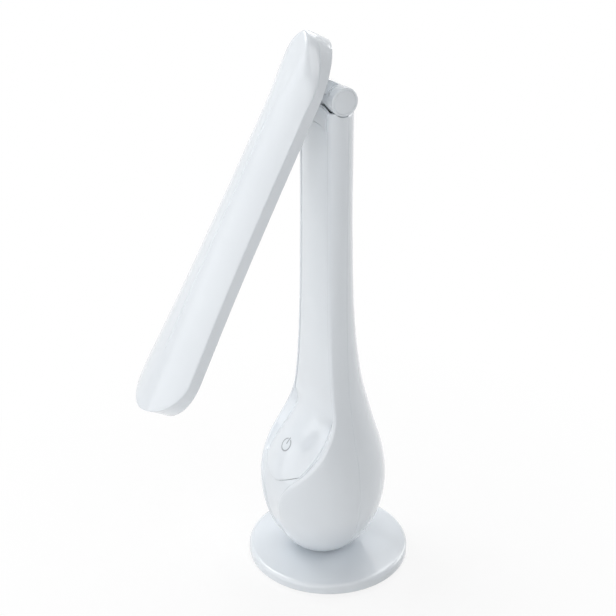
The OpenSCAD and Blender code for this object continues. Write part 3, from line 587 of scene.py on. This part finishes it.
def panel_rows(depth):
    """Rows of the panel. Its edges are rounded over all the way round."""
    ends = ((0.0, 0.14), (0.03, 0.06), (0.08, 0.02), (0.16, 0.0))
    low, high = PANEL_LOW + 0.03, PANEL_HIGH - 0.3
    levels = [(low + a, b) for a, b in ends]
    levels += [(z, 0.0) for z in spread(low + 1.5, 18, 108, 10, 122, 12, 150, 16, high - 1.5)]
    levels += [(high - a, b) for a, b in reversed(ends)]
    shares = [math.sin(math.radians(90 * i / 22)) for i in range(23)]
    rows = []
    for level, end_drop in levels:
        half = []
        for u in reversed(shares):
            z = bowed(level, u)
            width = floor_half(z) - PANEL_GAP
            x = (width - 0.5) * u
            half.append([x, panel_face(x, z) + (depth if depth else end_drop), z])
        z = bowed(level, 1)
        width = floor_half(z) - PANEL_GAP
        for inward, drop in ((0.2, 0.03), (0.06, 0.14), (0.0, 0.3)):
            x = width - inward
            y = panel_face(x, z) + (depth if depth else max(drop, end_drop))
            half.insert(0, [x, y, z])
        rows.append(mirrored(half))
    return rows


def make_panel():
    panel = mesh_object("panel", *shell(panel_rows(0), panel_rows(PANEL_T)), "body", "white_gloss")
    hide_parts("front_panel")


def make_symbol():
    """The power symbol, laid into the curved panel."""
    tilt = math.radians(SYMBOL_TILT)
    centre_y = curve(PANEL_LINE, SYMBOL_Z)

    def on_panel(a, b, depth):
        z = SYMBOL_Z + b * math.cos(tilt)
        for _ in range(6):
            y = panel_face(a, z)
            along = (y - centre_y) * math.sin(tilt) + (z - SYMBOL_Z) * math.cos(tilt)
            z += (b - along) * math.cos(tilt)
        return (a, panel_face(a, z) + depth * 0.74, z - depth * 0.67)

    def strip(path, half_width):
        rows = []
        for (a, b), (na, nb) in path:
            rows.append([on_panel(a + na * w, b + nb * w, d)
                         for w, d in ((-half_width, 0.6), (-half_width, -0.02), (0, -0.05),
                                      (half_width, -0.02), (half_width, 0.6))])
        return loft(rows)

    r = SYMBOL_R - SYMBOL_STROKE / 2
    gap = math.degrees(math.asin(1.4 * SYMBOL_STROKE / r))
    ring = []
    for i in range(49):
        t = math.radians(90 + gap + (360 - 2 * gap) * i / 48)
        ring.append(((r * math.cos(t), r * math.sin(t)), (math.cos(t), math.sin(t))))
    tick = [((0, SYMBOL_R * (0.1 + 1.05 * i / 8)), (1, 0)) for i in range(9)]
    solid = joined(strip(ring, SYMBOL_STROKE / 2), strip(tick, SYMBOL_STROKE / 2))
    symbol = mesh_object("symbol", *solid, "body", "symbol_grey")
    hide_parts("power_symbol")


def make_caps():
    for side, node in ((1, "hinge_cap_right"), (-1, "hinge_cap_left")):
        profile = [(0, EAR_OUT - 0.6), (CAP_R, EAR_OUT - 0.6), (CAP_R, EAR_OUT - 0.15)]
        profile += [(CAP_R - 0.06, EAR_OUT - 0.02), (CAP_R - 0.2, EAR_OUT + 0.08), (6.6, EAR_OUT + 0.16),
                    (5, EAR_OUT + 0.3), (2.5, EAR_OUT + 0.4), (0, EAR_OUT + 0.44)]
        cap = mesh_object(f"cap_{'right' if side > 0 else 'left'}",
                          *moved(lathe(profile, 96), across(side)), "body", "white_gloss")
        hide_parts(node)


# Head
def head_body(s):
    return HEAD_HALF + (HEAD_TIP_HALF - HEAD_HALF) * curve(HEAD_FLARE, s)


def rounding(u, k):
    return max(0.0, 1 - u**k) ** (1 / k)


def head_w(s):
    if s < TOP_ROUND - HEAD_UP:
        return head_body(s) * rounding((TOP_ROUND - HEAD_UP - s) / TOP_ROUND, TOP_POWER)
    if s > HEAD_DOWN - TIP_ROUND:
        return head_body(s) * rounding((s - HEAD_DOWN + TIP_ROUND) / TIP_ROUND, TIP_POWER)
    return head_body(s)


def hinge_end(s):
    """Rises from 0 to 1 toward the head's hinge end."""
    return max(0.0, min(1.0, (END_FROM - s) / END_RUN))


def crown_at(x, s):
    """Height of the face above its edge. Toward the hinge end the ridge rises and the face gets fuller."""
    rise = RIDGE_RISE * max(0.0, (FACET_FROM - s) / (FACET_FROM + HEAD_UP)) ** 1.6
    return (HEAD_CROWN + rise) * (1 - min(1.0, abs(x) / head_body(s)) ** (2 + 1.2 * hinge_end(s)))


def edge_fall(x, s):
    """At the hinge end the face bends down toward its edge."""
    return END_FALL * hinge_end(s) ** 1.3 * max(0.0, 1 - (head_w(s) - abs(x)) / END_EDGE) ** 2


def in_station(s, t):
    """A station of the inner side, which ends short of the outer side by t at both ends."""
    middle, length = (HEAD_DOWN - HEAD_UP) / 2, HEAD_DOWN + HEAD_UP
    return middle + (s - middle) * (length - 2 * t) / length


def ridge_line(x, s):
    """Depth of the fine line cut along the ridge."""
    if LINE_FROM < s < LINE_TO:
        fade = min(1.0, (s - LINE_FROM) / LINE_FADE)
        return LINE_DEPTH * fade * math.exp(-((x / LINE_HALF) ** 2))
    return 0.0


def facet(x, s):
    """A soft flat triangle widens from the start of the line to the hinge end."""
    if s > FACET_FROM:
        return 0.0
    half = 0.5 + (FACET_FROM - s) * 0.22
    return FACET_DEPTH * max(0.0, 1 - (abs(x) / half) ** 2) ** 2 * min(1.0, (FACET_FROM - s) / 20)


HEAD_STATIONS = ([-HEAD_UP + d for d in (0.02, 0.12, 0.3, 0.6, 1.0, 1.6, 2.4, 3.4, 4.6, 6, 7.6, 9.4)]
                 + spread(-18, 10, 10, 34, 178, 4, 188, 14, HEAD_DOWN - 9)
                 + [HEAD_DOWN - d for d in (7.4, 6, 4.6, 3.4, 2.4, 1.6, 1.0, 0.6, 0.3, 0.12, 0.02)])
FACE_SHARES = ([math.cos(math.radians(90 * i / 20)) for i in range(20)]
               + [0.048, 0.036, 0.027, 0.02, 0.014, 0.009, 0.004, 0.0])


def head_row(s, inset):
    """A section of the cover: side wall, a fine groove round the face, and the face."""
    w = max(0.5, head_w(s) - inset)
    side = HEAD_GAP + HEAD_SIDE - inset
    at = -in_station(s, inset)
    top = side + crown_at(w, s) - edge_fall(w, s)
    groove = 0.0 if inset else 1.0
    half = [[w - 0.35 * groove, -HEAD_GAP, at], [w, -HEAD_GAP - 0.35 * groove, at]]
    half += [[w, -(HEAD_GAP + (top - HEAD_GAP) * k), at] for k in (0.35, 0.7)]
    half += [[w, -(top - 0.62), at], [w - 0.22 * groove, -(top - 0.48), at],
             [w - 0.25 * groove, -(top - 0.36), at], [w - 0.06 * groove, -(top - 0.24), at]]
    for u in FACE_SHARES:
        x = (w - 0.12 * groove) * u
        edge = 0.12 * groove * u**24
        cut = (ridge_line(x, s) + facet(x, s)) * groove
        half.append([x, -(side + crown_at(x, s) - edge_fall(x, s)) + edge + cut, at])
    return mirrored(half)


def make_head_cover():
    outer = [head_row(s, 0) for s in HEAD_STATIONS]
    inner = [head_row(s, HEAD_WALL) for s in HEAD_STATIONS]
    rows, columns = len(outer), len(outer[0])
    points = [in_head(p) for row in outer for p in row] + [in_head(p) for row in inner for p in row]
    count = rows * columns
    faces = grid_faces(rows, columns) + grid_faces(rows, columns, count)
    for base in (0, count):
        faces.append(tuple(base + j for j in range(columns)))
        faces.append(tuple(base + (rows - 1) * columns + j for j in range(columns)))
    for i in range(rows - 1):
        for j in (0, columns - 1):
            a, b = i * columns + j, (i + 1) * columns + j
            faces.append((a, b, count + b, count + a))
    for i in (0, rows - 1):
        a, b = i * columns, (i + 1) * columns - 1
        faces.append((a, b, count + b, count + a))
    cover = mesh_object("cover", points, faces, "head", "white_gloss")
    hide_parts("head_cover")


# Stage
# Soft boxes round the lamp: degrees from the front towards the right, degrees above level, width, watts
LIGHT_OUT, LIGHT_AIM, LIGHT_TALL = 1.35, 0.18, 0.8
LIGHTS = [("front", 0, 14, 1.8, 5.0), ("right", 45, 14, 0.8, 3.6), ("back", 180, 14, 0.8, 6.5),
          ("key", -60, 50, 0.8, 8.5), ("fill", -20, 50, 0.8, 1.9), ("side", 80, 50, 0.8, 4.3),
          ("rim", -140, 50, 0.8, 6.5)]


def area_light(name, place, target, size, power):
    data = bpy.data.lights.new(name, "AREA")
    data.energy = power
    data.shape = "RECTANGLE"
    data.size, data.size_y = size
    obj = bpy.data.objects.new(name, data)
    bpy.context.scene.collection.objects.link(obj)
    direction = [t - p for p, t in zip(place, target)]
    obj.location = place
    obj.rotation_euler = Vector(direction).to_track_quat("-Z", "Y").to_euler()
    return obj


def make_camera():
    data = bpy.data.cameras.new("camera")
    data.lens = FOCAL * SENSOR / PICTURE
    data.sensor_width = SENSOR
    data.clip_start = 0.05
    data.clip_end = 20
    camera = bpy.data.objects.new("camera", data)
    bpy.context.scene.collection.objects.link(camera)
    around = math.radians(CAMERA_AROUND)
    camera.location = (CAMERA_OUT * math.sin(around), -CAMERA_OUT * math.cos(around), CAMERA_UP)
    camera.rotation_euler = (math.radians(CAMERA_TILT), 0, math.radians(CAMERA_TURN))
    bpy.context.scene.camera = camera


def seen_directly(nodes, links):
    """1 for rays from the camera, from gloss and through glass, 0 for light."""
    path = nodes.new("ShaderNodeLightPath")
    first = nodes.new("ShaderNodeMath")
    first.operation = "MAXIMUM"
    second = nodes.new("ShaderNodeMath")
    second.operation = "MAXIMUM"
    links.new(path.outputs["Is Camera Ray"], first.inputs[0])
    links.new(path.outputs["Is Glossy Ray"], first.inputs[1])
    links.new(first.outputs[0], second.inputs[0])
    links.new(path.outputs["Is Transmission Ray"], second.inputs[1])
    return second


def make_stage():
    scene = bpy.context.scene
    scene.view_settings.view_transform = "Standard"
    world = bpy.data.worlds.new("studio")
    scene.world = world
    world.use_nodes = True
    nodes, links = world.node_tree.nodes, world.node_tree.links
    nodes.clear()
    light = nodes.new("ShaderNodeBackground")
    light.inputs["Color"].default_value = (0.93, 0.96, 1.0, 1)
    light.inputs["Strength"].default_value = 0.02
    white = nodes.new("ShaderNodeBackground")
    white.inputs["Color"].default_value = (1, 1, 1, 1)
    mix = nodes.new("ShaderNodeMixShader")
    out = nodes.new("ShaderNodeOutputWorld")
    links.new(seen_directly(nodes, links).outputs[0], mix.inputs["Fac"])
    links.new(light.outputs[0], mix.inputs[1])
    links.new(white.outputs[0], mix.inputs[2])
    links.new(mix.outputs[0], out.inputs["Surface"])

    floor_mat, nodes, links, shader = material("floor_white")
    shader.inputs["Roughness"].default_value = 0.9
    speckle = ramp(nodes, links, noise(nodes, links, 40), (0.9, 0.9, 0.9), (0.92, 0.92, 0.92))
    links.new(speckle.outputs["Color"], shader.inputs["Base Color"])
    glow = nodes.new("ShaderNodeEmission")
    glow.inputs["Color"].default_value = (1, 1, 1, 1)
    mix = nodes.new("ShaderNodeMixShader")
    coords = nodes.new("ShaderNodeTexCoord")
    distance = nodes.new("ShaderNodeVectorMath")
    distance.operation = "LENGTH"
    links.new(coords.outputs["Object"], distance.inputs[0])
    clearing = nodes.new("ShaderNodeMapRange")
    for label, value in (("From Min", 0.08), ("From Max", 0.32), ("To Min", 0.8), ("To Max", 1.0)):
        clearing.inputs[label].default_value = value
    links.new(distance.outputs["Value"], clearing.inputs["Value"])
    share = nodes.new("ShaderNodeMath")
    share.operation = "MULTIPLY"
    links.new(seen_directly(nodes, links).outputs[0], share.inputs[0])
    links.new(clearing.outputs["Result"], share.inputs[1])
    links.new(share.outputs[0], mix.inputs["Fac"])
    links.new(shader.outputs[0], mix.inputs[1])
    links.new(glow.outputs[0], mix.inputs[2])
    links.new(mix.outputs[0], nodes["Material Output"].inputs["Surface"])
    corner = 6000
    floor = mesh_object("floor", [(-corner, -corner, 0), (corner, -corner, 0), (corner, corner, 0),
                                  (-corner, corner, 0)], [(0, 1, 2, 3)], None, None)
    floor.data.materials.append(floor_mat)

    for name, around, above, width, power in LIGHTS:
        a, e = math.radians(around), math.radians(above)
        place = (LIGHT_OUT * math.sin(a) * math.cos(e), -LIGHT_OUT * math.cos(a) * math.cos(e),
                 LIGHT_AIM + LIGHT_OUT * math.sin(e))
        area_light(name, place, (0, 0, LIGHT_AIM), (width, LIGHT_TALL), power)


# The lamp
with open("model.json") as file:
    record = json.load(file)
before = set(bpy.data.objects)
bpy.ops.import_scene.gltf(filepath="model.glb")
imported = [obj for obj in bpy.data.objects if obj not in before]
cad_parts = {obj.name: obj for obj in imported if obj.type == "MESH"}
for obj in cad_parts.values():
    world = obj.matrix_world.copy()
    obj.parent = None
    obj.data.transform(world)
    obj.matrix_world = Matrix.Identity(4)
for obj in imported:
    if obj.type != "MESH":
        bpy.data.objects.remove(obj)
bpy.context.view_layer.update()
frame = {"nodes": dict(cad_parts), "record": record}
slots = {part["node"]: part["material_slot"] for part in frame["record"]["subparts"]}
for name, obj in frame["nodes"].items():
    obj.data.materials.clear()
    obj.data.materials.append(MATERIALS[slots[name]])

make_camera()
make_foot()
make_front_shell()
make_rear_shell()
make_panel()
make_symbol()
make_caps()
make_head_cover()
make_stage()
